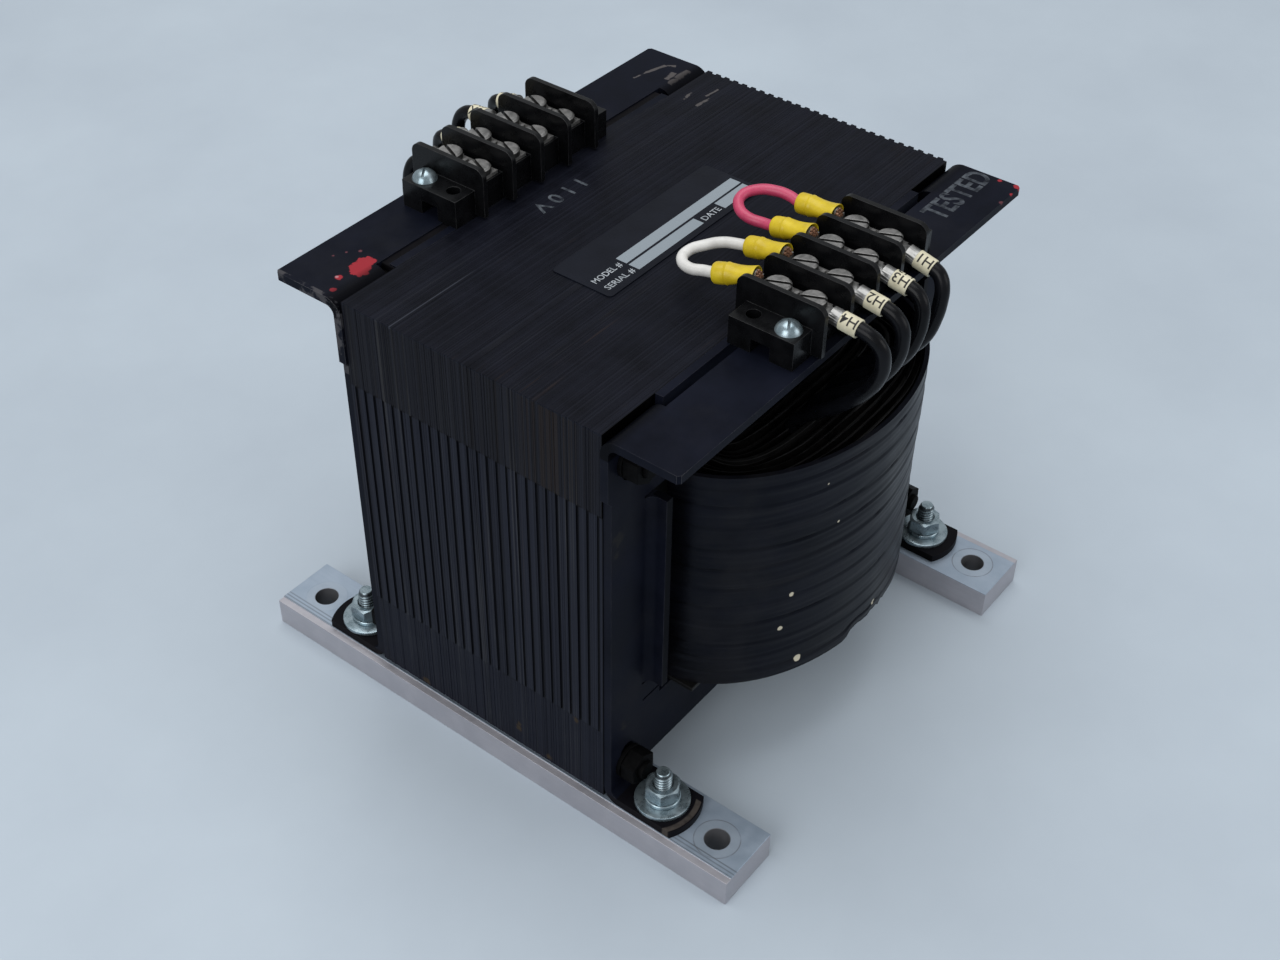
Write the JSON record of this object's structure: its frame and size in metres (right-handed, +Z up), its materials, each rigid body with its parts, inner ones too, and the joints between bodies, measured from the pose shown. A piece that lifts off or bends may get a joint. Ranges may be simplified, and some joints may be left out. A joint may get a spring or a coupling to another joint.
{
  "type": "transformer",
  "caption": "Open-frame power transformer: interleaved laminated core, taped oval coil, stamped end frames with barrier terminal blocks, wire leads and aluminium mounting bars.",
  "frame": {"origin": "on the ground under the middle of the core, level with the underside of the mounting bars", "axes": "+X along the laminations, +Y through the stack of laminations from the front block to the rear block, +Z up"},
  "size_m": [0.1958, 0.21, 0.1902],
  "materials": {
    "core_steel": "varnished edges, satin",
    "frame_paint": "satin dark paint",
    "insulation": "varnished paper",
    "winding": "varnished copper wire",
    "coil_tape": "satin varnished tape",
    "dark_steel": "dark satin",
    "bar_aluminium": "mill finish",
    "zinc_steel": "bright zinc",
    "nickel_steel": "satin nickel",
    "block_plastic": "glossy moulded",
    "tinned_lug": "tinned",
    "marker_sleeve": "cream sleeve",
    "lead_jacket": "satin black jacket",
    "yellow_sleeve": "vivid yellow",
    "white_jacket": "white jacket",
    "pink_jacket": "pink red jacket",
    "plate_face": "printed satin label"
  },
  "bodies": {
    "root": {"e_laminations_up": "core_steel", "e_laminations_down": "core_steel", "i_laminations_top": "core_steel", "i_laminations_bottom": "core_steel", "winding_tube": "insulation", "primary_winding": "winding", "winding_insulation": "insulation", "secondary_winding": "winding", "coil_tape_wrap": "coil_tape", "coil_base_collar": "insulation", "front_end_frame": "frame_paint", "rear_end_frame": "frame_paint", "core_bolts": "dark_steel", "core_washers": "dark_steel", "core_nuts": "dark_steel", "left_base_bar": "bar_aluminium", "right_base_bar": "bar_aluminium", "base_studs": "zinc_steel", "base_flat_washers": "zinc_steel", "base_lock_washers": "zinc_steel", "base_nuts": "zinc_steel", "front_terminal_block": "block_plastic", "rear_terminal_block": "block_plastic", "front_terminal_straps": "nickel_steel", "rear_terminal_straps": "nickel_steel", "front_terminal_screws": "nickel_steel", "rear_terminal_screws": "nickel_steel", "front_block_screws": "zinc_steel", "rear_block_screws": "zinc_steel", "front_block_nuts": "zinc_steel", "rear_block_nuts": "zinc_steel", "front_lead_lugs": "tinned_lug", "rear_lead_lugs": "tinned_lug", "front_lead_markers": "marker_sleeve", "rear_lead_markers": "marker_sleeve", "front_lead_1": "lead_jacket", "front_lead_2": "lead_jacket", "front_lead_3": "lead_jacket", "front_lead_4": "lead_jacket", "rear_lead_1": "lead_jacket", "rear_lead_2": "lead_jacket", "rear_lead_3": "lead_jacket", "rear_lead_4": "lead_jacket", "jumper_lugs": "tinned_lug", "jumper_sleeves": "yellow_sleeve", "white_jumper": "white_jacket", "pink_jumper": "pink_jacket", "nameplate": "plate_face"}
  },
  "joints": []
}
